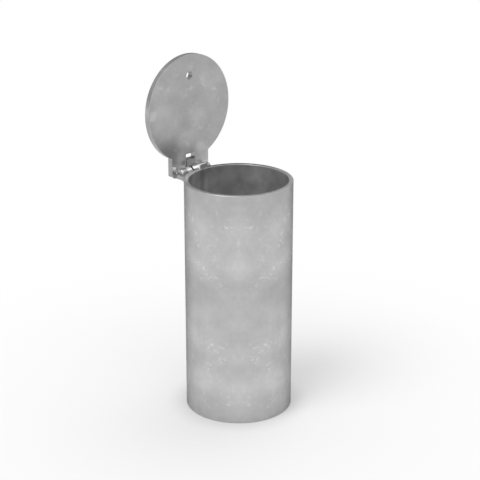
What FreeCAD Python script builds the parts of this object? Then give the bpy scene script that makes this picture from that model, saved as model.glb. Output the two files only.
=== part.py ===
import FreeCAD, Part
import os
import Sketcher
from FreeCAD import Placement, Rotation, Vector

# Galvanised ground sleeve of a removable bollard, with a hinged lid, shown with its lid open.
# Millimetres. The origin is the centre of the sleeve's bottom end, +Z points up the sleeve,
# and the hinge stands on the +Y side with its pin along X.

doc = FreeCAD.newDocument("bollard_sleeve")
sizes = doc.addObject("Spreadsheet::Sheet", "sizes")

DRIVING_SIZES = (
    ("sleeve_diameter", 168.275),    # outside of 6 inch pipe
    ("sleeve_wall", 7.112),
    ("sleeve_length", 374.65),
    ("deburr", 0.8),                 # broken edges of the cut pipe and of the hinge pieces
    ("lid_diameter", 169.8625),      # it laps the sleeve's outside edge a little
    ("lid_thickness", 9.525),
    ("lid_edge_break", 0.6),
    ("lid_lift", 0.3),               # the closed lid's underside above the sleeve's rim
    ("lid_open_angle", 90.0),
    ("lift_hole_diameter", 12.7),
    ("lift_hole_offset", 51.6),      # from the lid's centre towards its free edge
    ("tab_setback", 0.5),            # from the pin's axis back to the tab's end
    ("leg_gap", 0.4125),             # from the pin's head to the stop leg beside it
    ("leg_width", 7.5),
    ("leg_reach", 6.4),              # from the pin's axis out to a stop leg's end
    ("leg_corner", 3.0),
    ("hinge_offset", 15.875),        # from the sleeve's outside to the pin's axis
    ("knuckle_diameter", 15.875),
    ("knuckle_length", 19.05),
    ("pin_diameter", 9.525),
    ("pin_play", 0.05),              # radial gap round the pin
    ("head_diameter", 15.2),
    ("head_length", 2.2),
    ("head_round", 1.4),
    ("end_play", 0.3),               # between a head and its knuckle
    ("lug_width", 15.875),
    ("lug_groove", 1.5875),          # width of the groove on each side of the lug's face
    ("lug_step", 4.0),               # depth of that groove
    ("lug_key_lead", 1.5),           # how far the lug's key runs past its face
    ("eye_diameter", 19.05),         # the lug's eye, a step larger than the knuckles
    ("knuckle_gap", 1.2),            # between the lug's eye and each knuckle
    ("bracket_thickness", 6.35),
    ("bracket_relief", 0.7),         # round whatever turns past the bracket
    ("bracket_seat", 2.1),           # how far the knuckles' seats stand out
    ("bracket_step", 2.6),           # from a stop arm's outer side in to the bracket's neck
    ("bracket_flare", 7.5),          # how much wider the bracket is at the sleeve
    ("bracket_root", 16.0),          # how far its outline is drawn inside the sleeve's outside
    ("bracket_blend", 2.0),
    ("stop_depth", 4.0),
    ("stop_gap", 0.3),
    ("tongue_thickness", 3.175),
    ("tongue_height", 7.6),
    ("tongue_inset", 0.5),           # from the bore to the tongue's inner face
    ("tongue_corner", 1.5),
    ("tongue_side_gap", 1.525),      # between the tongue and the closed lid's slot, each side
    ("tongue_lug_gap", 2.1),         # between the tongue and the closed lid's lug
    ("tongue_swing", 3.9),           # from the tongue to the closed slot's inner end
)

for row, (name, value) in enumerate(DRIVING_SIZES, start=1):
    sizes.set("A%d" % row, name)
    sizes.set("B%d" % row, str(value))
    sizes.setAlias("B%d" % row, name)
doc.recompute()

# Sizes that follow from the driving ones, as formulas of the sheet.
SLEEVE_RADIUS = "sizes.sleeve_diameter / 2"
BORE_RADIUS = "(sizes.sleeve_diameter / 2 - sizes.sleeve_wall)"
KNUCKLE_RADIUS = "sizes.knuckle_diameter / 2"
EYE_RADIUS = "sizes.eye_diameter / 2"
PIN_BORE_RADIUS = "(sizes.pin_diameter / 2 + sizes.pin_play)"
HINGE_REACH = "(sizes.sleeve_diameter / 2 + sizes.hinge_offset)"
PIN_HEIGHT = "(sizes.sleeve_length - sizes.knuckle_diameter / 2)"
KNUCKLE_START = "(sizes.lug_width / 2 + sizes.knuckle_gap)"
KNUCKLE_END = "(sizes.lug_width / 2 + sizes.knuckle_gap + sizes.knuckle_length)"
HEAD_START = "(sizes.lug_width / 2 + sizes.knuckle_gap + sizes.knuckle_length + sizes.end_play)"
HEAD_END = "(%s + sizes.head_length)" % HEAD_START
HALF_TAB = "(%s + sizes.leg_gap + sizes.leg_width)" % HEAD_END
LEG_INSIDE = "(%s + sizes.leg_gap)" % HEAD_END
HALF_SLOT = "(sizes.lug_width / 2 + sizes.lug_groove)"
TONGUE_INNER = "(%s + sizes.tongue_inset)" % BORE_RADIUS
TONGUE_OUTER = "(%s + sizes.tongue_thickness)" % TONGUE_INNER
SLOT_END = "(%s - %s + sizes.tongue_swing)" % (HINGE_REACH, TONGUE_INNER)
KEY_END = "(%s - %s - sizes.tongue_lug_gap)" % (HINGE_REACH, TONGUE_OUTER)
LID_FACE = "(sizes.knuckle_diameter / 2 + sizes.lid_lift)"
LID_TOP = "(sizes.knuckle_diameter / 2 + sizes.lid_lift + sizes.lid_thickness)"


def size(formula):
    """The present value of a formula of the sheet."""
    return float(sizes.evalExpression(formula))


def minus(formula):
    return "-(%s)" % formula


def new_body(name):
    body = doc.addObject("PartDesign::Body", name)
    body.Label = name
    return body


def new_sketch(body, name, plane_role, offset=None):
    """A sketch on one of the body's own origin planes, raised along its normal by a formula."""
    sketch = body.newObject("Sketcher::SketchObject", name)
    plane = [item for item in body.Origin.OriginFeatures if item.Role == plane_role][0]
    sketch.AttachmentSupport = [(plane, "")]
    sketch.MapMode = "FlatFace"
    if offset is not None:
        sketch.setExpression("AttachmentOffset.Base.z", offset)
    return sketch


def pin_down(sketch, edge, vertex, across, along):
    """Holds one point of a sketch at two formulas from the sketch's origin."""
    for kind, formula in (("DistanceX", across), ("DistanceY", along)):
        held = sketch.addConstraint(
            Sketcher.Constraint(kind, -1, 1, edge, vertex, size(formula)))
        sketch.setExpression("Constraints[%d]" % held, formula)


def draw_polygon(sketch, corners):
    """A closed outline of straight edges through corners given as pairs of formulas."""
    points = [Vector(size(across), size(along), 0) for across, along in corners]
    for index, start in enumerate(points):
        end = points[(index + 1) % len(points)]
        sketch.addGeometry(Part.LineSegment(start, end), False)
    for index in range(len(points)):
        sketch.addConstraint(
            Sketcher.Constraint("Coincident", index, 2, (index + 1) % len(points), 1))
    for index, (across, along) in enumerate(corners):
        pin_down(sketch, index, 1, across, along)


def draw_circle(sketch, radius, across="0", along="0"):
    centre = Vector(size(across), size(along), 0)
    circle = sketch.addGeometry(Part.Circle(centre, Vector(0, 0, 1), size(radius)), False)
    held = sketch.addConstraint(Sketcher.Constraint("Radius", circle, size(radius)))
    sketch.setExpression("Constraints[%d]" % held, radius)
    pin_down(sketch, circle, 3, across, along)


def pad(body, sketch, length, midplane=False):
    feature = body.newObject("PartDesign::Pad", sketch.Name + "_pad")
    feature.Profile = sketch
    feature.setExpression("Length", length)
    feature.Midplane = midplane
    sketch.Visibility = False
    doc.recompute()
    return feature


def pocket(body, sketch, midplane=False, reverse=False, length=None):
    """Cuts a sketch out of the body, and makes sure that it did cut."""
    before = body.Shape.Volume
    feature = body.newObject("PartDesign::Pocket", sketch.Name + "_pocket")
    feature.Profile = sketch
    if length is None:
        feature.Type = "ThroughAll"
    else:
        feature.setExpression("Length", length)
    feature.Midplane = midplane
    feature.Reversed = reverse
    doc.recompute()
    if not body.Shape.Volume < before - 1.0:
        raise RuntimeError("nothing was cut by " + feature.Name)
    return feature


def edges_where(shape, wanted):
    return ["Edge%d" % (index + 1) for index, edge in enumerate(shape.Edges) if wanted(edge)]


def soften(body, kind, amount, wanted):
    """Fillets or chamfers the wanted edges of the body's present tip."""
    tip = body.Tip
    feature = body.newObject("PartDesign::" + kind, "%s_%s" % (body.Name, kind.lower()))
    feature.Base = (tip, edges_where(tip.Shape, wanted))
    feature.setExpression("Radius" if kind == "Fillet" else "Size", amount)
    doc.recompute()
    return feature


def is_circle(edge, radius):
    curve = edge.Curve
    return isinstance(curve, Part.Circle) and abs(curve.Radius - size(radius)) < 0.01


def is_upright(edge, across=None, along=None):
    """A straight edge along Z, at a given distance either side in X and at a given Y."""
    first, last = edge.Vertexes[0].Point, edge.Vertexes[-1].Point
    if abs(first.x - last.x) > 1e-6 or abs(first.y - last.y) > 1e-6:
        return False
    if across is not None and abs(abs(first.x) - size(across)) > 0.01:
        return False
    return along is None or abs(first.y - size(along)) < 0.01


def make_sleeve_tube():
    """The cut length of pipe, its outside edges and the edge of its mouth broken."""
    body = new_body("sleeve_tube")
    ring = new_sketch(body, "ring", "XY_Plane")
    draw_circle(ring, SLEEVE_RADIUS)
    draw_circle(ring, BORE_RADIUS)
    pad(body, ring, "sizes.sleeve_length")

    def is_broken(edge):
        at_mouth = is_circle(edge, BORE_RADIUS) and edge.Curve.Center.z > 1.0
        return at_mouth or is_circle(edge, SLEEVE_RADIUS)

    soften(body, "Chamfer", "sizes.deburr", is_broken)
    return body


def make_bracket():
    """The flat plate that carries the knuckles, hollowed to the pipe, with two stop arms."""
    body = new_body("sleeve_bracket")
    relief = "(%s - sizes.knuckle_diameter / 2 - sizes.bracket_relief)" % HINGE_REACH
    eye_relief = "(%s - sizes.eye_diameter / 2 - sizes.bracket_relief)" % HINGE_REACH
    seat = "(%s + sizes.bracket_seat)" % relief
    stop = "(%s + %s - sizes.stop_gap)" % (HINGE_REACH, LID_FACE)
    neck = "(%s - sizes.bracket_step)" % HALF_TAB
    heel = "(%s - sizes.bracket_root)" % SLEEVE_RADIUS
    right_side = (
        (KNUCKLE_START, eye_relief),
        (KNUCKLE_START, seat),
        (KNUCKLE_END, seat),
        (KNUCKLE_END, relief),
        (LEG_INSIDE, relief),
        (LEG_INSIDE, stop),
        (HALF_TAB, stop),
        (HALF_TAB, "(%s - sizes.stop_depth)" % stop),
        (neck, "(%s - sizes.stop_depth)" % stop),
        (neck, relief),
        ("(%s + sizes.bracket_flare)" % neck, heel),
    )
    left_side = tuple((minus(across), along) for across, along in reversed(right_side))
    plate = new_sketch(body, "bracket_outline", "XY_Plane")
    draw_polygon(plate, right_side + left_side)
    pad(body, plate, "sizes.bracket_thickness")
    pipe = new_sketch(body, "pipe_cut", "XY_Plane")
    draw_circle(pipe, SLEEVE_RADIUS)
    pocket(body, pipe, reverse=True)
    cope = new_sketch(body, "knuckle_cope", "YZ_Plane")
    draw_circle(cope, KNUCKLE_RADIUS, HINGE_REACH, "sizes.bracket_thickness")
    pocket(body, cope, midplane=True, length="2 * " + KNUCKLE_END)
    soften(body, "Fillet", "sizes.bracket_blend",
           lambda edge: is_upright(edge, neck, "(%s - sizes.stop_depth)" % stop))
    base = "(%s - sizes.bracket_thickness)" % PIN_HEIGHT
    body.Placement = Placement(Vector(0, 0, size(base)), Rotation())
    return body


def make_knuckle(name, start):
    """A short tube round the pin, seated in the bracket's edge."""
    body = new_body(name)
    ring = new_sketch(body, name + "_ring", "YZ_Plane")
    draw_circle(ring, KNUCKLE_RADIUS)
    draw_circle(ring, PIN_BORE_RADIUS)
    pad(body, ring, "sizes.knuckle_length")
    soften(body, "Chamfer", "sizes.deburr / 2", lambda edge: is_circle(edge, KNUCKLE_RADIUS))
    body.Placement = Placement(
        Vector(size(start), size(HINGE_REACH), size(PIN_HEIGHT)), Rotation())
    return body


def make_tongue():
    """The short flat tongue that stands on the sleeve's rim and enters the closed lid's slot."""
    body = new_body("lid_tongue")
    half = "(%s - sizes.tongue_side_gap)" % HALF_SLOT
    foot = new_sketch(body, "tongue_foot", "XY_Plane")
    draw_polygon(foot, (
        (half, TONGUE_INNER), (half, TONGUE_OUTER), (minus(half), TONGUE_OUTER),
        (minus(half), TONGUE_INNER)))
    pad(body, foot, "sizes.tongue_height")

    def is_top_corner(edge):
        ends = [vertex.Point for vertex in edge.Vertexes]
        along_y = abs(ends[0].x - ends[-1].x) < 1e-6 and abs(ends[0].z - ends[-1].z) < 1e-6
        return along_y and ends[0].z > size("sizes.tongue_height / 2")

    soften(body, "Fillet", "sizes.tongue_corner", is_top_corner)
    body.Placement = Placement(Vector(0, 0, size("sizes.sleeve_length")), Rotation())
    return body


def lid_placement():
    """Lid pieces are drawn closed, about the pin's axis, and turned open about it."""
    return Placement(
        Vector(0, size(HINGE_REACH), size(PIN_HEIGHT)),
        Rotation(Vector(1, 0, 0), -size("sizes.lid_open_angle")))


def make_lid_plate():
    """One flat plate: the round lid, its tab with the open slot, and two stop legs."""
    body = new_body("lid_plate")
    tab_end = "-sizes.tab_setback"
    disc = new_sketch(body, "disc", "XY_Plane", LID_FACE)
    draw_circle(disc, "sizes.lid_diameter / 2", "0", minus(HINGE_REACH))
    pad(body, disc, "sizes.lid_thickness")
    right_side = (
        (LEG_INSIDE, tab_end),
        (LEG_INSIDE, "sizes.leg_reach"),
        (HALF_TAB, "sizes.leg_reach"),
        (HALF_TAB, minus(HINGE_REACH + " / 2")),
    )
    left_side = tuple((minus(across), along) for across, along in reversed(right_side))
    tab = new_sketch(body, "tab", "XY_Plane", LID_FACE)
    draw_polygon(tab, right_side + left_side)
    pad(body, tab, "sizes.lid_thickness")
    slot = new_sketch(body, "slot", "XY_Plane", LID_TOP)
    draw_polygon(slot, (
        (HALF_SLOT, minus(SLOT_END)), (HALF_SLOT, "0"), (minus(HALF_SLOT), "0"),
        (minus(HALF_SLOT), minus(SLOT_END))))
    pocket(body, slot)
    hole = new_sketch(body, "lift_hole", "XY_Plane", LID_TOP)
    draw_circle(hole, "sizes.lift_hole_diameter / 2", "0",
                minus(HINGE_REACH + " + sizes.lift_hole_offset"))
    pocket(body, hole)

    def is_leg_corner(edge):
        return is_upright(edge, HALF_TAB, "sizes.leg_reach")

    def is_disc_rim(edge):
        return is_circle(edge, "sizes.lid_diameter / 2")

    soften(body, "Fillet", "sizes.leg_corner", is_leg_corner)
    soften(body, "Chamfer", "sizes.lid_edge_break", is_disc_rim)
    body.Placement = lid_placement()
    return body


def make_hinge_lug():
    """The lid's middle knuckle: an eye whose shank fills the outer part of the tab's slot.

    The shank's face is narrower than the slot, which leaves a groove on each side of it, and
    the key behind it is as wide as the slot.
    """
    body = new_body("lid_hinge_lug")
    face_end = "(sizes.lug_key_lead - %s)" % KEY_END
    key_end = minus(KEY_END)
    back = LID_TOP
    step = "(%s + sizes.lug_step)" % LID_FACE
    eye = new_sketch(body, "eye", "YZ_Plane")
    draw_circle(eye, EYE_RADIUS)
    pad(body, eye, "sizes.lug_width", midplane=True)
    shank = new_sketch(body, "shank", "YZ_Plane")
    draw_polygon(shank, (
        (face_end, LID_FACE), (minus(EYE_RADIUS), LID_FACE), (minus(EYE_RADIUS), "0"),
        (EYE_RADIUS, "0"), (EYE_RADIUS, LID_FACE), ("-sizes.deburr", back), (face_end, back)))
    pad(body, shank, "sizes.lug_width", midplane=True)
    key = new_sketch(body, "key", "YZ_Plane")
    draw_polygon(key, (
        (key_end, step), ("-sizes.tab_setback", step), ("-sizes.tab_setback", back),
        (key_end, back)))
    pad(body, key, "2 * " + HALF_SLOT, midplane=True)
    bore = new_sketch(body, "bore", "YZ_Plane")
    draw_circle(bore, PIN_BORE_RADIUS)
    pocket(body, bore, midplane=True)
    body.Placement = lid_placement()
    return body


def make_pin():
    """The hinge pin, with a rounded head formed on each end."""
    body = new_body("hinge_pin")
    outline = new_sketch(body, "pin_outline", "XY_Plane")
    rod = "sizes.pin_diameter / 2"
    head = "sizes.head_diameter / 2"
    draw_polygon(outline, (
        (minus(HEAD_END), "0"), (minus(HEAD_END), head), (minus(HEAD_START), head),
        (minus(HEAD_START), rod), (HEAD_START, rod), (HEAD_START, head), (HEAD_END, head),
        (HEAD_END, "0")))
    turned = body.newObject("PartDesign::Revolution", "pin_turned")
    turned.Profile = outline
    turned.ReferenceAxis = (outline, ["H_Axis"])
    turned.Angle = 360
    doc.recompute()

    def is_head_rim(edge):
        return is_circle(edge, head) and abs(edge.Curve.Center.x) > size(HEAD_END) - 0.01

    soften(body, "Fillet", "sizes.head_round", is_head_rim)
    body.Placement = Placement(
        Vector(0, size(HINGE_REACH), size(PIN_HEIGHT)), Rotation())
    return body


pieces = [
    make_sleeve_tube(),
    make_bracket(),
    make_knuckle("sleeve_knuckle_right", KNUCKLE_START),
    make_knuckle("sleeve_knuckle_left", minus(KNUCKLE_END)),
    make_tongue(),
    make_lid_plate(),
    make_hinge_lug(),
    make_pin(),
]
doc.recompute()

for item in doc.Objects:
    if "Invalid" in item.State or "Error" in item.State:
        raise RuntimeError("%s is in state %s" % (item.Name, item.State))
for piece in pieces:
    if piece.Shape.isNull() or not piece.Shape.isValid() or len(piece.Shape.Solids) != 1:
        raise RuntimeError("%s is not one valid solid" % piece.Label)

os.makedirs("parts", exist_ok=True)
for piece in pieces:
    piece.Shape.exportStep("parts/%s.step" % piece.Label)
    box = piece.Shape.BoundBox
    print("%-22s volume %9.0f  x %7.2f %7.2f  y %7.2f %7.2f  z %7.2f %7.2f" % (
        piece.Label, piece.Shape.Volume, box.XMin, box.XMax, box.YMin, box.YMax,
        box.ZMin, box.ZMax))
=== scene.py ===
import math
from collections import namedtuple

import bmesh
import bpy
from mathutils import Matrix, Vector, noise


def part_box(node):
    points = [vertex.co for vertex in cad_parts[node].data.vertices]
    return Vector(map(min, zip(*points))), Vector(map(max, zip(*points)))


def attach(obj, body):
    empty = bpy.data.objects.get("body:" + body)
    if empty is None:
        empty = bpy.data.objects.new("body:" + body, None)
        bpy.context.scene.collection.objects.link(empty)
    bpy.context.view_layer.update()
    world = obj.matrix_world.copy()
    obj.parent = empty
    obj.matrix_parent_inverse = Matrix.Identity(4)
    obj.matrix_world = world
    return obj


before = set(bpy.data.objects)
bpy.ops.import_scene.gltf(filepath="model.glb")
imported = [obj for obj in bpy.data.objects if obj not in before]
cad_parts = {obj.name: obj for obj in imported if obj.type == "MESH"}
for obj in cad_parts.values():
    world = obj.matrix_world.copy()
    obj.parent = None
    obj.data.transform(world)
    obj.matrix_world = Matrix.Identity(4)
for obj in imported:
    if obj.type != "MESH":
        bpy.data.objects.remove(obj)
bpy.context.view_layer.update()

scene = bpy.context.scene
MM = 0.001
UP = Vector((0.0, 0.0, 1.0))
AWAY = Vector((0.7046, 0.7096, 0.0))      # level, the way the camera looks
RIGHT = Vector((0.7096, -0.7046, 0.0))    # level, to the camera's right
FRONT_TURN = math.radians(44.8)           # turns X and Y to across and away in the photo

# Sizes and places from the frame, in metres, and two sizes that its boxes don't show
WALL = 7.112 * MM                         # of the pipe
KNUCKLE_RADIUS = 7.9375 * MM
SLEEVE_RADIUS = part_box("sleeve_tube")[1].x
BORE_RADIUS = SLEEVE_RADIUS - WALL
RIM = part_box("sleeve_tube")[1].z
PIN_LOW, PIN_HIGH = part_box("hinge_pin")
PIN_Y = (PIN_LOW.y + PIN_HIGH.y) / 2
PIN_Z = (PIN_LOW.z + PIN_HIGH.z) / 2
BRACKET_LOW, BRACKET_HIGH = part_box("sleeve_bracket")
KNUCKLE_LOW, KNUCKLE_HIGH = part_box("sleeve_knuckle_right")
LUG_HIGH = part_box("lid_hinge_lug")[1]
LID_LOW, LID_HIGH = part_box("lid_plate")
LID_RADIUS = (LID_HIGH.x - LID_LOW.x) / 2
LID_CENTRE = Vector((0.0, (LID_LOW.y + LID_HIGH.y) / 2, LID_HIGH.z - LID_RADIUS))
TONGUE_LOW, TONGUE_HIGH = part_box("lid_tongue")
ON_AXIS = Vector((0.0, 0.0, RIM))         # where the soft patches below are measured from
ON_LID = Vector((0.0, LID_LOW.y, PIN_Z))

# The zinc's own pattern
NOISE_RANGE = (0.30, 0.70)         # the values that smooth noise mostly keeps to
BIG_CLOUD = 85 * MM                # sizes of the layers of cloud
MIDDLE_CLOUD = 30 * MM
FINE_CLOUD = 6 * MM
BIG_SWING = 0.045                  # how far each layer swings the tone either way
MIDDLE_SWING = 0.035
FINE_SWING = 0.022
CRYSTAL_SWING = 0.018
CLOUD_GLOSS = 0.04                 # and how far two of them swing the roughness
CRYSTAL_GLOSS = 0.03
BUMP_STRENGTH = 0.20
BUMP_HEIGHT = 0.3 * MM
FLECK_CLUSTER = 22 * MM
CLUSTER_RANGE = (0.44, 0.60)       # the noise over which clusters and flecks come in
ROUND_RANGE = (0.58, 0.74)
LONG_RANGE = (0.60, 0.74)
LONG_SIZE = 1.3                    # a drawn-out fleck's size, by a round one's
FLECK_RISE = 0.14                  # how far a fleck lifts the tone
DARK_ZINC = 0.60                   # the darkest and the lightest zinc, by its middle tone
LIGHT_ZINC = 1.50
DRAWN_OUT = (0.80, 0.80, 1.40)     # squeezes the place so that flecks lie level
BARE_ROUGHNESS = 0.18              # of bright bare metal

# Factors on the zinc's flecks and on its tone, set to be like the photograph
FLECK_BANDS = (                    # how many flecks there are, by height over the sleeve
    (0.00, 0.1), (0.06, 0.5), (0.13, 0.5), (0.17, 0.1), (0.23, 0.7), (0.34, 0.8),
    (0.39, 0.1), (0.58, 0.1), (0.64, 0.8), (0.90, 1.0), (0.94, 0.1),
)
HEIGHT_TONE = (                    # light and dark zones round the sleeve, by height
    (0.00, 1.00), (0.15, 1.13), (0.24, 1.01), (0.34, 1.09), (0.45, 1.01), (0.60, 1.00),
    (0.70, 1.12), (0.88, 1.01), (1.00, 0.93),
)
# painted shade: the rim darkens towards the back; its dullness is the cut edge's own
RIM_TONE_AND_SHADE = (                       # the cut rim, from the front of the photo to the back
    (0.00, 0.86), (0.30, 0.90), (0.55, 1.00), (0.80, 0.85), (0.90, 0.45), (1.00, 0.25),
)
STRIPS_HALF = 10 * MM
BORE_STRIPS = (                      # strips down the bore by the hinge, dark then light, from one side to the other
    (0.00, 1.00), (0.10, 0.80), (0.38, 0.80), (0.50, 1.00), (0.62, 1.18), (0.85, 1.14),
    (0.95, 1.00),
)
LID_EDGE_LIGHT_AND_SHADE = (                  # painted light and shade on the lid's cut edge, by height over the open lid
    (0.00, 0.80), (0.13, 0.80), (0.22, 1.20), (0.35, 1.05), (0.52, 0.90), (0.63, 1.20),
    (0.76, 0.90), (0.90, 0.80), (0.97, 0.62), (1.00, 0.70),
)

# Soft patches in mm: x, y, z, the reach at full strength, the reach where it ends, factor.
# y and z are from the sleeve's axis and rim, or from the lid's front and the pin's axis.
# painted light on the rim at the left
RIM_PATCHES = (
    (-39.8, 67.7, 0.0, 12.0, 50.0, 1.70),
)
BORE_PATCHES = (
    (73.8, 21.8, -16.0, 6.0, 30.0, 1.26),
    (-21.8, 73.9, -18.0, 4.0, 22.0, 1.22),
)
# On the lid, the first patch is a painted reflection of the pipe's dark mouth, the last darkens a
# spot beside the lug and the rest lighten the face
LID_PATCHES = (
    (-50.0, 0.0, 32.0, 8.0, 30.0, 0.80),
    (-54.0, 0.0, 82.0, 12.0, 46.0, 1.28),
    (-76.0, 0.0, 101.0, 2.0, 12.0, 1.22),
    (21.0, 0.0, 33.0, 4.0, 14.0, 1.16),
    (-12.0, 0.0, 50.0, 4.0, 26.0, 1.16),
    (-20.0, 0.0, 24.0, 3.0, 14.0, 1.34),
    (-15.5, 0.0, 13.0, 1.0, 6.0, 0.60),
)
# painted shadow where the bracket's left arm meets the lid's leg
BRACKET_SHADOW_PATCHES = (
    (-36.5, -3.75, -1.5, 3.0, 6.0, 0.62),
)

# Where single marks start and end, in metres, and their factors on the tone
BORE_BLOTCH = 24 * MM
BORE_SWING = (0.92, 1.28)               # the bore's blotches, darkest and lightest, lifted as painted light
BORE_EDGE = (0.2 * MM, 0.6 * MM)        # into the wall, where the bore's tone ends
BACK_DEPTH = (-70 * MM, -2 * MM)        # from the rim, where painted shade darkens the back of the bore
BACK_REACH = (25 * MM, 65 * MM)         # and from the axis
BACK_PAINTED_SHADE = 0.36
LID_EDGE = (-3 * MM, -2 * MM)           # from the lid's own edge, where the edge's painted light and shade start
# painted light on the lid's tab, growing towards the hinge
TAB_FADE = (26 * MM, 9 * MM)            # over the pin's axis, as are TAB_END_FADE and LEG_TOP
TAB_PAINTED_LIGHT = 1.20
TAB_END_FADE = (10 * MM, 6 * MM)
TAB_END_PAINTED_LIGHT = 1.25
LEG_TOP = (10 * MM, 13 * MM)
LEG_SIDE = (-31 * MM, -29 * MM)         # across, from the hinge's middle
LEG_LIGHT = 1.75
EYE_BACK = (2.0 * MM, 3.4 * MM)         # behind the pin's axis, where the eye ends
EYE_LIGHT = 1.60
# painted shade on the eye's end faces
EYE_ENDS_PAINTED_SHADE = 0.25
LUG_FACE = 0.95
LUG_TOP = (-1.3 * MM, -0.7 * MM)        # from the lug's top, where its painted shadow line starts
LUG_TOP_PAINTED_SHADE = 0.55
KNUCKLE_HALVES = (18 * MM, 20 * MM)     # across, where the dull half takes over
KNUCKLE_DULL = 0.46
RIGHT_HEAD = (20 * MM, 24 * MM)         # across
PIN_DULL = 0.58
# painted highlight on the tongue's top and sides, and painted shade on its flat faces
TONGUE_PAINTED_HIGHLIGHT = 1.90
TONGUE_FLAT_PAINTED_SHADE = 0.70
ARM_START = (24 * MM, 31 * MM)          # across, either way
ARM_DULL = 0.82


# Node graphs
class Graph:
    """A small helper for building the nodes of a material or of the world."""

    def __init__(self, owner, output):
        owner.use_nodes = True
        self.nodes = owner.node_tree.nodes
        self.links = owner.node_tree.links
        self.nodes.clear()
        self.output = self.nodes.new(output)

    def add(self, kind, **settings):
        node = self.nodes.new(kind)
        for key, value in settings.items():
            setattr(node, key, value)
        return node

    def plug(self, source, target):
        self.links.new(source, target)

    def feed(self, value, socket):
        """Gives a socket a plain value or another node's output."""
        if isinstance(value, (float, tuple)):
            socket.default_value = value
        else:
            self.plug(value, socket)

    def compute(self, kind, first, second=0.0):
        node = self.add("ShaderNodeMath", operation=kind)
        self.feed(first, node.inputs[0])
        self.feed(second, node.inputs[1])
        return node.outputs["Value"]

    def plus(self, first, second):
        return self.compute("ADD", first, second)

    def minus(self, first, second):
        return self.compute("SUBTRACT", first, second)

    def times(self, first, second):
        return self.compute("MULTIPLY", first, second)

    def larger(self, first, second):
        return self.compute("MAXIMUM", first, second)

    def magnitude(self, value):
        return self.compute("ABSOLUTE", value)

    def blend(self, first, second, share):
        """A value that goes from first to second as share goes from 0 to 1."""
        return self.plus(first, self.times(self.minus(second, first), share))

    def remap(self, value, low, high, new_low=0.0, new_high=1.0, soft=False):
        """Stretches the range low to high onto the new one, and holds it at both ends."""
        node = self.add("ShaderNodeMapRange")
        if soft:
            node.interpolation_type = "SMOOTHSTEP"
        node.inputs["From Min"].default_value = low
        node.inputs["From Max"].default_value = high
        node.inputs["To Min"].default_value = new_low
        node.inputs["To Max"].default_value = new_high
        self.plug(value, node.inputs["Value"])
        return node.outputs["Result"]

    def swing(self, noise_value, reach):
        """Smooth noise as a value that goes from -reach to reach."""
        return self.remap(noise_value, *NOISE_RANGE, -reach, reach)

    def ramp(self, value, stops):
        """A grey that follows stops of (position, grey)."""
        node = self.add("ShaderNodeValToRGB")
        elements = node.color_ramp.elements
        while len(elements) < len(stops):
            elements.new(0.5)
        for element, (position, grey) in zip(elements, stops):
            element.position = position
            element.color = (grey, grey, grey, 1.0)
        self.plug(value, node.inputs["Fac"])
        return node.outputs["Color"]

    def scaled(self, colour, factor):
        node = self.add("ShaderNodeVectorMath", operation="SCALE")
        self.feed(colour, node.inputs[0])
        self.feed(factor, node.inputs["Scale"])
        return node.outputs["Vector"]

    def place(self, turn=0.0, mirrored=False, squeeze=(1.0, 1.0, 1.0), shift=0.0):
        """Object coordinates in metres, turned about Z, squeezed or mirrored in X if asked.

        shift moves the pattern along X, and a mirrored one after its fold, both halves alike.
        """
        coordinates = self.add("ShaderNodeTexCoord")
        mapping = self.add("ShaderNodeMapping")
        mapping.inputs["Rotation"].default_value = (0.0, 0.0, turn)
        mapping.inputs["Scale"].default_value = squeeze
        self.plug(coordinates.outputs["Object"], mapping.inputs["Vector"])
        place = mapping.outputs["Vector"]
        if not mirrored:
            mapping.inputs["Location"].default_value = (shift, 0.0, 0.0)
            return place
        folded = self.add("ShaderNodeCombineXYZ")
        self.plug(self.plus(self.magnitude(self.part(place, "X")), shift), folded.inputs["X"])
        for axis in ("Y", "Z"):
            self.plug(self.part(place, axis), folded.inputs[axis])
        return folded.outputs["Vector"]

    def part(self, vector, axis):
        node = self.add("ShaderNodeSeparateXYZ")
        self.plug(vector, node.inputs["Vector"])
        return node.outputs[axis]

    def facing(self, axis):
        """How far the surface faces along an axis, from -1 to 1."""
        return self.part(self.add("ShaderNodeTexCoord").outputs["Normal"], axis)

    def measure(self, kind, vector, other=(0.0, 0.0, 0.0)):
        """A number from a vector and a fixed one: DOT_PRODUCT, DISTANCE or LENGTH."""
        node = self.add("ShaderNodeVectorMath", operation=kind)
        self.plug(vector, node.inputs[0])
        node.inputs[1].default_value = other
        return node.outputs["Value"]

    def near(self, place, centre, inner, outer):
        """1 within inner metres of a point, falling softly to 0 at outer metres."""
        return self.remap(self.measure("DISTANCE", place, centre), inner, outer, 1.0, 0.0,
                          soft=True)

    def patched(self, tone, place, patches, origin):
        """A tone times the factor of each soft patch round its own point."""
        for x, y, z, inner, outer, factor in patches:
            centre = origin + Vector((x, y, z)) * MM
            spot = self.near(place, centre, inner * MM, outer * MM)
            tone = self.times(tone, self.blend(1.0, factor, spot))
        return tone

    def clouds(self, place, size, detail, roughness=0.55):
        """Smooth noise whose blobs are about size metres across, 0 to 1."""
        node = self.add("ShaderNodeTexNoise")
        node.inputs["Scale"].default_value = 1.0 / size
        node.inputs["Detail"].default_value = detail
        node.inputs["Roughness"].default_value = roughness
        self.plug(place, node.inputs["Vector"])
        return node.outputs["Fac"]

    def crystals(self, place, size):
        """Soft-edged cells about size metres across, each with its own value, 0 to 1."""
        node = self.add("ShaderNodeTexVoronoi", feature="SMOOTH_F1")
        node.inputs["Scale"].default_value = 1.0 / size
        node.inputs["Smoothness"].default_value = 0.35
        self.plug(place, node.inputs["Vector"])
        split = self.add("ShaderNodeSeparateColor")
        self.plug(node.outputs["Color"], split.inputs["Color"])
        return split.outputs["Red"]


# What one piece has by place: a factor for the zinc's tone, which on most pieces also holds
# painted light and shade, a factor for the number of its flecks, and the share of bare bright
# metal, or None where it has none.
Marks = namedtuple("Marks", "shade flecks bare", defaults=(1.0, 1.0, None))


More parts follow.
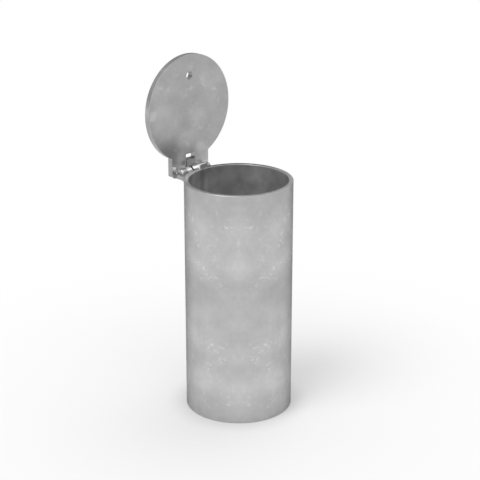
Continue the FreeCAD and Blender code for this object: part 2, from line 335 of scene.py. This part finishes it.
def bore_tone_and_shading(graph, place, far):
    """The bore: blotches with painted light, two strips on the hinge's side and painted shade at
    the upper back.
    """
    by_hinge = graph.remap(graph.part(place, "Y"), 0.0, STRIPS_HALF)
    strips = graph.ramp(graph.remap(graph.part(place, "X"), -STRIPS_HALF, STRIPS_HALF), BORE_STRIPS)
    blotches = graph.clouds(place, BORE_BLOTCH, detail=2.0, roughness=0.5)
    tone = graph.times(graph.blend(1.0, strips, by_hinge),
                       graph.remap(blotches, 0.32, 0.68, *BORE_SWING))
    # painted shade on the upper back of the bore
    upper = graph.remap(graph.minus(graph.part(place, "Z"), RIM), *BACK_DEPTH)
    back = graph.remap(far, *BACK_REACH, 0.0, BACK_PAINTED_SHADE, soft=True)
    tone = graph.times(tone, graph.minus(1.0, graph.times(upper, back)))
    return graph.patched(tone, place, BORE_PATCHES, ON_AXIS)


def rim_tone_and_shading(graph, place, far):
    """The cut rim: dull, with painted light at the left and painted shade darkest at the back."""
    tone = graph.ramp(graph.remap(far, -SLEEVE_RADIUS, SLEEVE_RADIUS), RIM_TONE_AND_SHADE)
    return graph.patched(tone, place, RIM_PATCHES, ON_AXIS)


def sleeve_marks(graph):
    """Zones of tone and rings of flecks up the outside; the bore and the rim have their own."""
    place = graph.place()
    far = graph.part(graph.place(FRONT_TURN), "Y")
    height = graph.remap(graph.part(place, "Z"), 0.0, RIM)
    level = graph.add("ShaderNodeVectorMath", operation="MULTIPLY")
    level.inputs[1].default_value = (1.0, 1.0, 0.0)
    graph.plug(place, level.inputs[0])
    from_axis = graph.measure("LENGTH", level.outputs["Vector"])
    in_bore = graph.remap(graph.minus(from_axis, BORE_RADIUS), *BORE_EDGE, 1.0, 0.0)
    on_rim = graph.remap(graph.facing("Z"), 0.7, 0.9)
    shade = graph.blend(graph.ramp(height, HEIGHT_TONE), bore_tone_and_shading(graph, place, far), in_bore)
    shade = graph.blend(shade, rim_tone_and_shading(graph, place, far), on_rim)
    return Marks(shade, flecks=graph.ramp(height, FLECK_BANDS))


def lid_marks(graph):
    """A cut edge with painted light and shade, painted light on the end by the hinge and soft
    patches low on the face.

    The face of the left leg, beside the pin's head, is bright as in the photograph.
    """
    place = graph.place()
    up = graph.part(place, "Z")
    over_pin = graph.minus(up, PIN_Z)
    from_edge = graph.minus(graph.measure("DISTANCE", place, LID_CENTRE), LID_RADIUS)
    cut = graph.remap(graph.magnitude(graph.facing("Y")), 0.4, 0.8, 1.0, 0.0)
    edge = graph.times(cut, graph.remap(from_edge, *LID_EDGE, soft=True))
    edge_light_and_shade = graph.ramp(graph.remap(up, LID_LOW.z, LID_HIGH.z), LID_EDGE_LIGHT_AND_SHADE)
    # painted light on the tab near the hinge
    shade = graph.times(graph.remap(over_pin, *TAB_FADE, 1.0, TAB_PAINTED_LIGHT, soft=True),
                        graph.remap(over_pin, *TAB_END_FADE, 1.0, TAB_END_PAINTED_LIGHT, soft=True))
    shade = graph.patched(shade, place, LID_PATCHES, ON_LID)
    front = graph.remap(graph.facing("Y"), -0.9, -0.7, 1.0, 0.0)
    left_leg = graph.remap(graph.part(place, "X"), *LEG_SIDE, 1.0, 0.0)
    low = graph.remap(over_pin, *LEG_TOP, 1.0, 0.0, soft=True)
    bare = graph.times(graph.times(front, left_leg), low)
    shade = graph.blend(shade, LEG_LIGHT, bare)
    return Marks(graph.blend(shade, edge_light_and_shade, edge), bare=bare)


def lug_marks(graph):
    """Bright metal on the eye with painted shade on its ends, dull zinc above and a painted shadow
    line at the top.
    """
    place = graph.place()
    bare = graph.remap(graph.minus(graph.part(place, "Y"), PIN_Y), *EYE_BACK, 1.0, 0.0)
    top = graph.remap(graph.minus(graph.part(place, "Z"), LUG_HIGH.z), *LUG_TOP)
    ends = graph.remap(graph.magnitude(graph.facing("X")), 0.5, 0.8)
    shade = graph.blend(graph.blend(LUG_FACE, LUG_TOP_PAINTED_SHADE, top), EYE_LIGHT, bare)
    return Marks(graph.blend(shade, EYE_ENDS_PAINTED_SHADE, graph.times(ends, bare)), bare=bare)


def knuckle_marks(graph):
    """The outer half of each knuckle is dull and the inner half bright."""
    across = graph.magnitude(graph.part(graph.place(), "X"))
    return Marks(graph.remap(across, *KNUCKLE_HALVES, 1.0, KNUCKLE_DULL, soft=True))


def pin_marks(graph):
    """The left head is bright round its side and dull on its end; the right head is dull."""
    ends = graph.remap(graph.magnitude(graph.facing("X")), 0.55, 0.90)
    right_head = graph.remap(graph.part(graph.place(), "X"), *RIGHT_HEAD)
    dull = graph.larger(ends, right_head)
    return Marks(graph.blend(1.0, PIN_DULL, dull), bare=graph.minus(1.0, dull))


def tongue_marks(graph):
    """Painted highlight on the tongue's top and sides, and painted shade on its flat faces."""
    flat = graph.remap(graph.magnitude(graph.facing("Y")), 0.5, 0.8)
    return Marks(graph.blend(TONGUE_PAINTED_HIGHLIGHT, TONGUE_FLAT_PAINTED_SHADE, flat))


def bracket_marks(graph):
    """The bracket's arms are duller, with a painted shadow where the left one meets the lid's leg.
    """
    place = graph.place()
    across = graph.magnitude(graph.part(place, "X"))
    shade = graph.remap(across, *ARM_START, 1.0, ARM_DULL, soft=True)
    return Marks(graph.patched(shade, place, BRACKET_SHADOW_PATCHES, ON_LID))


# Materials
def new_material(name):
    material = bpy.data.materials.new(name)
    return material, Graph(material, "ShaderNodeOutputMaterial")


def set_material(thing, material):
    slots = thing.data.materials
    if len(slots) == 0:
        slots.append(material)
    for index in range(len(slots)):
        slots[index] = material


def zinc_flecks(graph, place, drawn, size, dashes, share):
    """Small bright flecks in loose clusters, round and drawn out, 0 to 1."""
    cluster = graph.remap(graph.clouds(place, FLECK_CLUSTER, detail=2.5), *CLUSTER_RANGE,
                          soft=True)
    round_ones = graph.remap(graph.clouds(place, size, detail=0.7), *ROUND_RANGE, soft=True)
    long_ones = graph.remap(graph.clouds(drawn, size * LONG_SIZE, detail=0.7), *LONG_RANGE,
                            0.0, dashes, soft=True)
    return graph.times(graph.times(cluster, share), graph.larger(round_ones, long_ones))


def galvanised(name, tone, crystal=11 * MM, contrast=1.0, roughness=0.40, flecks=1.0,
               fleck_size=6 * MM, dashes=1.0, metallic=0.55, edge_tint=0.45, turn=0.0,
               mirrored=False, shift=0.0, marks=None):
    """Hot-dip zinc: soft clouds, faint crystals and scattered bright flecks.

    tone is its middle grey, crystal and fleck_size are sizes, contrast, flecks and dashes
    are strengths of the clouds, of all flecks and of the drawn-out ones, and turn, mirrored
    and shift place the pattern. marks builds what the piece has by place, painted light and
    shade among it.
    """
    material, graph = new_material(name)
    own = Marks() if marks is None else marks(graph)
    place = graph.place(turn, mirrored, shift=shift)
    drawn = graph.place(turn, mirrored, DRAWN_OUT, shift)
    big = graph.clouds(place, BIG_CLOUD, detail=1.0)
    middle = graph.clouds(place, MIDDLE_CLOUD, detail=2.0, roughness=0.45)
    fine = graph.clouds(place, FINE_CLOUD, detail=3.0, roughness=0.65)
    cell = graph.crystals(place, crystal)
    fleck = zinc_flecks(graph, place, drawn, fleck_size, dashes, own.flecks)
    level = graph.swing(big, BIG_SWING * contrast)
    level = graph.plus(level, graph.swing(middle, MIDDLE_SWING * contrast))
    level = graph.plus(level, graph.swing(fine, FINE_SWING * contrast))
    level = graph.plus(level, graph.remap(cell, 0.0, 1.0, -CRYSTAL_SWING * contrast,
                                          CRYSTAL_SWING * contrast))
    level = graph.plus(level, graph.times(fleck, FLECK_RISE * flecks))
    level = graph.plus(level, 0.5)
    colour = graph.ramp(level, ((0.25, tone * DARK_ZINC), (0.50, tone), (0.75, tone * LIGHT_ZINC)))
    rough = graph.plus(
        graph.remap(middle, *NOISE_RANGE, roughness + CLOUD_GLOSS, roughness - CLOUD_GLOSS),
        graph.remap(cell, 0.0, 1.0, -CRYSTAL_GLOSS, CRYSTAL_GLOSS))
    shader = graph.add("ShaderNodeBsdfPrincipled")
    shader.inputs["Specular Tint"].default_value = (edge_tint, edge_tint, edge_tint, 1.0)
    shader.inputs["Metallic"].default_value = metallic
    if own.bare is not None:
        graph.plug(graph.blend(metallic, 1.0, own.bare), shader.inputs["Metallic"])
        rough = graph.blend(rough, BARE_ROUGHNESS, own.bare)
    graph.plug(graph.scaled(colour, own.shade), shader.inputs["Base Color"])
    graph.plug(rough, shader.inputs["Roughness"])
    bump = graph.add("ShaderNodeBump")
    bump.inputs["Strength"].default_value = BUMP_STRENGTH
    bump.inputs["Distance"].default_value = BUMP_HEIGHT
    graph.plug(graph.plus(fine, middle), bump.inputs["Height"])
    graph.plug(bump.outputs["Normal"], shader.inputs["Normal"])
    graph.plug(shader.outputs["BSDF"], graph.output.inputs["Surface"])
    return material


def bright_steel(name, marks):
    """The smooth, light metal of the pin and of the knuckles, without flecks."""
    return galvanised(name, 0.90, crystal=6 * MM, contrast=0.3, roughness=0.22, flecks=0.0,
                      metallic=0.6, edge_tint=1.0, marks=marks)


zinc_sleeve = galvanised("galvanised_sleeve", 0.52, contrast=0.85, flecks=0.9,
                         fleck_size=6.2 * MM, metallic=0.66, edge_tint=0.02, turn=FRONT_TURN,
                         mirrored=True, shift=0.62, marks=sleeve_marks)
zinc_lid = galvanised("galvanised_lid", 0.46, roughness=0.34, flecks=0.55,
                      fleck_size=8.5 * MM, dashes=0.0, shift=0.40, marks=lid_marks)
zinc_hinge = galvanised("galvanised_hinge", 0.50, crystal=6 * MM, roughness=0.33,
                        marks=bracket_marks)
zinc_tongue = galvanised("galvanised_tongue", 0.50, crystal=3 * MM, contrast=1.6,
                         roughness=0.33, metallic=0.2, marks=tongue_marks)
zinc_lug = galvanised("galvanised_lug", 0.57, crystal=5 * MM, roughness=0.36, flecks=0.0,
                      marks=lug_marks)
zinc_weld = galvanised("weld_zinc", 0.42, crystal=4 * MM, roughness=0.36)
pin_steel = bright_steel("pin_steel", pin_marks)
knuckle_steel = bright_steel("knuckle_steel", knuckle_marks)

NODE_MATERIALS = {
    "sleeve_tube": zinc_sleeve,
    "sleeve_bracket": zinc_hinge,
    "sleeve_knuckle_right": knuckle_steel,
    "sleeve_knuckle_left": knuckle_steel,
    "lid_tongue": zinc_tongue,
    "lid_plate": zinc_lid,
    "lid_hinge_lug": zinc_lug,
    "hinge_pin": pin_steel,
}
for node_name, node_material in NODE_MATERIALS.items():
    set_material(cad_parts[node_name], node_material)

# Weld beads
BEAD_SIDES = 12
RIPPLE_PITCH = 0.9                 # by the bead's radius
RIPPLE_DEPTH = 0.10
WANDER_DEPTH = 0.16
WANDER_PITCH = 0.35
THIN_END = 0.02
STEPS_A_RIPPLE = 4
ARC_STEPS = 24
BRACKET_WELD = 1.8 * MM            # radius of each kind of bead
KNUCKLE_WELD = 1.1 * MM
GROOVE_FILL = 0.95 * MM
LUG_WELD = 1.1 * MM
TONGUE_WELD = 0.8 * MM
END_GAP = 2.0 * MM                 # how far the longer beads stop short of a corner
TONGUE_END_GAP = 0.8 * MM
LUG_TOP_GAP = 0.6 * MM
OFF_WALL = 0.2 * MM                # how far a bead's middle stands off the wall beside it
OFF_PLATE = 0.1 * MM               # and off the plate under it
BRACKET_OFF_PIPE = 0.6 * MM        # the same two of the bead under the bracket
BRACKET_DROP = 0.4 * MM
LUG_SINK = 0.2 * MM                # into the lid's back
GROOVE_IN = 0.8 * MM               # from the lug's side
GROOVE_BACK = 0.75 * MM            # behind the lid's front
GROOVE_FOOT = 5.0 * MM             # over the pin's axis
LUG_WELD_FOOT = 6.5 * MM
SIDES = ((1, "right"), (-1, "left"))


def along_line(points, travelled):
    """The point that far along a line of points, and the way the line runs there."""
    for start, end in zip(points, points[1:]):
        run = (end - start).length
        if travelled <= run or end is points[-1]:
            break
        travelled -= run
    along = (end - start).normalized()
    return start + along * travelled, along


def bead_size(travelled, total, radius, seed):
    """A bead's radius at a place: rippled, a little uneven and tapered at both ends."""
    from_end = min(travelled, total - travelled) / radius
    taper = math.sqrt(max(0.0, 1.0 - (1.0 - min(1.0, from_end)) ** 2))
    ripple = RIPPLE_DEPTH * math.sin(2.0 * math.pi * travelled / (radius * RIPPLE_PITCH))
    wander = WANDER_DEPTH * noise.noise(Vector((travelled / radius * WANDER_PITCH, seed, 0.0)))
    return radius * max(THIN_END, taper) * (1.0 + ripple + wander)


def bead_ring(form, centre, along, size):
    """One ring of a bead's vertices, square to the way it runs."""
    side = along.orthogonal().normalized()
    other = along.cross(side)
    ring = []
    for turn in range(BEAD_SIDES):
        angle = 2.0 * math.pi * turn / BEAD_SIDES
        ring.append(form.verts.new(
            centre + side * (size * math.cos(angle)) + other * (size * math.sin(angle))))
    return ring


def weld_bead(name, points, radius, body, seed):
    """A rippled bead along a line of points; it sinks by half into the corner it fills."""
    mesh = bpy.data.meshes.new(name)
    bead = bpy.data.objects.new(name, mesh)
    scene.collection.objects.link(bead)
    total = sum((end - start).length for start, end in zip(points, points[1:]))
    steps = max(12, int(total / (radius * RIPPLE_PITCH / STEPS_A_RIPPLE)))
    form = bmesh.new()
    rings = []
    for step in range(steps + 1):
        travelled = total * step / steps
        centre, along = along_line(points, travelled)
        rings.append(bead_ring(form, centre, along, bead_size(travelled, total, radius, seed)))
    for first, second in zip(rings, rings[1:]):
        for turn in range(BEAD_SIDES):
            after = (turn + 1) % BEAD_SIDES
            form.faces.new((first[turn], first[after], second[after], second[turn]))
    form.faces.new(list(reversed(rings[0])))
    form.faces.new(rings[-1])
    bmesh.ops.recalc_face_normals(form, faces=form.faces)
    for face in form.faces:
        face.smooth = True
    form.to_mesh(mesh)
    form.free()
    set_material(bead, zinc_weld)
    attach(bead, body)


def sleeve_arc(half_width, radius, z):
    """Points on a circle round the sleeve's axis, on the hinge's side, from left to right."""
    points = []
    for step in range(ARC_STEPS + 1):
        x = half_width * (2.0 * step / ARC_STEPS - 1.0)
        points.append(Vector((x, math.sqrt(radius * radius - x * x), z)))
    return points


under_bracket = sleeve_arc(BRACKET_HIGH.x - END_GAP, SLEEVE_RADIUS + BRACKET_OFF_PIPE,
                           BRACKET_LOW.z - BRACKET_DROP)
weld_bead("weld_bracket_under", under_bracket, BRACKET_WELD, "sleeve", 1.0)

knuckle_y = PIN_Y - KNUCKLE_RADIUS - OFF_WALL
knuckle_z = BRACKET_HIGH.z + OFF_PLATE
for side, label in SIDES:
    line = [Vector((side * (KNUCKLE_LOW.x + END_GAP), knuckle_y, knuckle_z)),
            Vector((side * (KNUCKLE_HIGH.x - END_GAP), knuckle_y, knuckle_z))]
    weld_bead("weld_knuckle_top_" + label, line, KNUCKLE_WELD, "sleeve",
              2.0 + side)

groove_x = LUG_HIGH.x - GROOVE_IN
groove_y = LID_LOW.y + GROOVE_BACK
line = [Vector((groove_x, groove_y, PIN_Z + GROOVE_FOOT)),
        Vector((groove_x, groove_y, LUG_HIGH.z - LUG_TOP_GAP))]
weld_bead("weld_groove", line, GROOVE_FILL, "lid", 9.0)

for side, label in SIDES:
    line = [Vector((side * LUG_HIGH.x, LID_HIGH.y - LUG_SINK, PIN_Z + LUG_WELD_FOOT)),
            Vector((side * LUG_HIGH.x, LID_HIGH.y - LUG_SINK, LUG_HIGH.z - LUG_TOP_GAP))]
    weld_bead("weld_lug_" + label, line, LUG_WELD, "lid", 5.0 + side)

tongue_y = TONGUE_HIGH.y + OFF_WALL
line = [Vector((TONGUE_LOW.x + TONGUE_END_GAP, tongue_y, RIM + OFF_PLATE)),
        Vector((TONGUE_HIGH.x - TONGUE_END_GAP, tongue_y, RIM + OFF_PLATE))]
weld_bead("weld_tongue", line, TONGUE_WELD, "sleeve", 8.0)

# Floor
FLOOR_HALF = 14.0                  # metres
PAPER_TONE = (0.93, 0.93, 0.93)
FOOT_PAINTED_SHADOW = 0.92                   # painted shadow: a factor on the paper next to the sleeve's foot
FOOT_REACH = 36 * MM
FADE_START = 0.08                  # from the middle, where the paper starts to turn white
FADE_END = 0.70


def floor_paper():
    """Pale paper, with a painted shadow round the sleeve's foot, that fades to plain white away
    from the object, and keeps its shadow.
    """
    material, paper = new_material("floor_paper")
    place = paper.place()
    foot = paper.near(place, (0.0, 0.0, 0.0), SLEEVE_RADIUS, SLEEVE_RADIUS + FOOT_REACH)
    tone = paper.scaled(PAPER_TONE, paper.blend(1.0, FOOT_PAINTED_SHADOW, foot))
    lit_paper = paper.add("ShaderNodeBsdfDiffuse")
    paper.plug(tone, lit_paper.inputs["Color"])
    plain_white = paper.add("ShaderNodeEmission")
    plain_white.inputs["Color"].default_value = (1.0, 1.0, 1.0, 1.0)
    plain_white.inputs["Strength"].default_value = 1.0
    faded = paper.remap(paper.measure("LENGTH", place), FADE_START, FADE_END, soft=True)
    rays = paper.add("ShaderNodeLightPath").outputs
    seen = paper.larger(paper.larger(rays["Is Camera Ray"], rays["Is Glossy Ray"]),
                        rays["Is Transmission Ray"])
    mix = paper.add("ShaderNodeMixShader")
    paper.plug(paper.times(faded, seen), mix.inputs["Fac"])
    paper.plug(lit_paper.outputs["BSDF"], mix.inputs[1])
    paper.plug(plain_white.outputs["Emission"], mix.inputs[2])
    paper.plug(mix.outputs["Shader"], paper.output.inputs["Surface"])
    return material


floor_mesh = bpy.data.meshes.new("floor")
floor = bpy.data.objects.new("floor", floor_mesh)
scene.collection.objects.link(floor)
form = bmesh.new()
form.faces.new([form.verts.new((x * FLOOR_HALF, y * FLOOR_HALF, 0.0))
                for x, y in ((-1, -1), (1, -1), (1, 1), (-1, 1))])
form.to_mesh(floor_mesh)
form.free()
set_material(floor, floor_paper())

# Studio light
SKY_LOW = 0.37                     # the studio's brightness at the horizon
SKY_HIGH = 0.95                    # and overhead
SKY_TOP = 0.9                      # the sine of the angle where overhead begins
GLOW = 0.70                        # the extra brightness of the broad light behind, at the right
GLOW_WAY = UP * 0.745 + AWAY * 0.52 + RIGHT * 0.41
GLOW_SPREAD = (45.0, 15.0)         # degrees off its way, where it starts and where it is full
FRONT = 0.62                       # and of the one in front
FRONT_WAY = UP * 0.3 - AWAY
FRONT_SPREAD = (65.0, 15.0)
DIM = 0.42                         # how much darker the studio is to the left and to the right
DIM_SPREAD = (50.0, 10.0)
KEY_WAY = UP * 1.45 - RIGHT * 0.75 - AWAY * 0.70    # towards the one lamp
KEY_SPREAD = 34.0                  # degrees across the lamp
KEY_SHARE = 0.21                   # how white the lamp alone makes a white floor


def cone(studio, cosine, outer, inner, strength):
    """Grows from 0 at outer degrees off a direction to strength at inner degrees."""
    return studio.remap(cosine, math.cos(math.radians(outer)), math.cos(math.radians(inner)),
                        0.0, strength, soft=True)


def studio_world():
    """A pale studio all round: brighter overhead, behind and in front, dimmer at the sides."""
    world = bpy.data.worlds.new("studio")
    studio = Graph(world, "ShaderNodeOutputWorld")
    outward = studio.add("ShaderNodeTexCoord").outputs["Generated"]
    to_glow = studio.measure("DOT_PRODUCT", outward, GLOW_WAY.normalized())
    to_front = studio.measure("DOT_PRODUCT", outward, FRONT_WAY.normalized())
    to_sides = studio.magnitude(studio.measure("DOT_PRODUCT", outward, RIGHT.normalized()))
    lit = studio.remap(studio.part(outward, "Z"), 0.0, SKY_TOP, SKY_LOW, SKY_HIGH)
    lit = studio.plus(lit, cone(studio, to_glow, *GLOW_SPREAD, GLOW))
    lit = studio.plus(lit, cone(studio, to_front, *FRONT_SPREAD, FRONT))
    lit = studio.minus(lit, cone(studio, to_sides, *DIM_SPREAD, DIM))
    sky = studio.add("ShaderNodeBackground")
    studio.plug(lit, sky.inputs["Strength"])
    studio.plug(sky.outputs["Background"], studio.output.inputs["Surface"])
    return world


def soft_sun(name, towards_light, spread, floor_share):
    """A broad, distant lamp. floor_share is how white it alone makes a white floor."""
    light = bpy.data.lights.new(name, "SUN")
    light.angle = math.radians(spread)
    towards_light = towards_light.normalized()
    light.energy = math.pi * floor_share / towards_light.z
    lamp = bpy.data.objects.new(name, light)
    scene.collection.objects.link(lamp)
    lamp.rotation_euler = (-towards_light).to_track_quat("-Z", "Y").to_euler()


scene.world = studio_world()
soft_sun("key", KEY_WAY, KEY_SPREAD, KEY_SHARE)

# Camera, as fitted to the photograph
CAMERA_BACK = 2107.9 * MM
CAMERA_ACROSS = 2.04 * MM
CAMERA_UP = 1052.5 * MM
CAMERA_PITCH = math.radians(20.240)
SENSOR_WIDTH = 36.0                # in mm, as Blender has it
PHOTO_WIDTH = 480.0                # in pixels
FOCAL_PIXELS = 1444.0
camera_data = bpy.data.cameras.new("camera")
camera = bpy.data.objects.new("camera", camera_data)
scene.collection.objects.link(camera)
camera.location = RIGHT * CAMERA_ACROSS - AWAY * CAMERA_BACK + UP * CAMERA_UP
look = AWAY * math.cos(CAMERA_PITCH) - UP * math.sin(CAMERA_PITCH)
camera.rotation_euler = look.to_track_quat("-Z", "Y").to_euler()
camera_data.sensor_fit = "HORIZONTAL"
camera_data.sensor_width = SENSOR_WIDTH
camera_data.lens = SENSOR_WIDTH * FOCAL_PIXELS / PHOTO_WIDTH
camera_data.clip_start = 0.05
camera_data.clip_end = 60.0
scene.camera = camera

scene.view_settings.view_transform = "Standard"
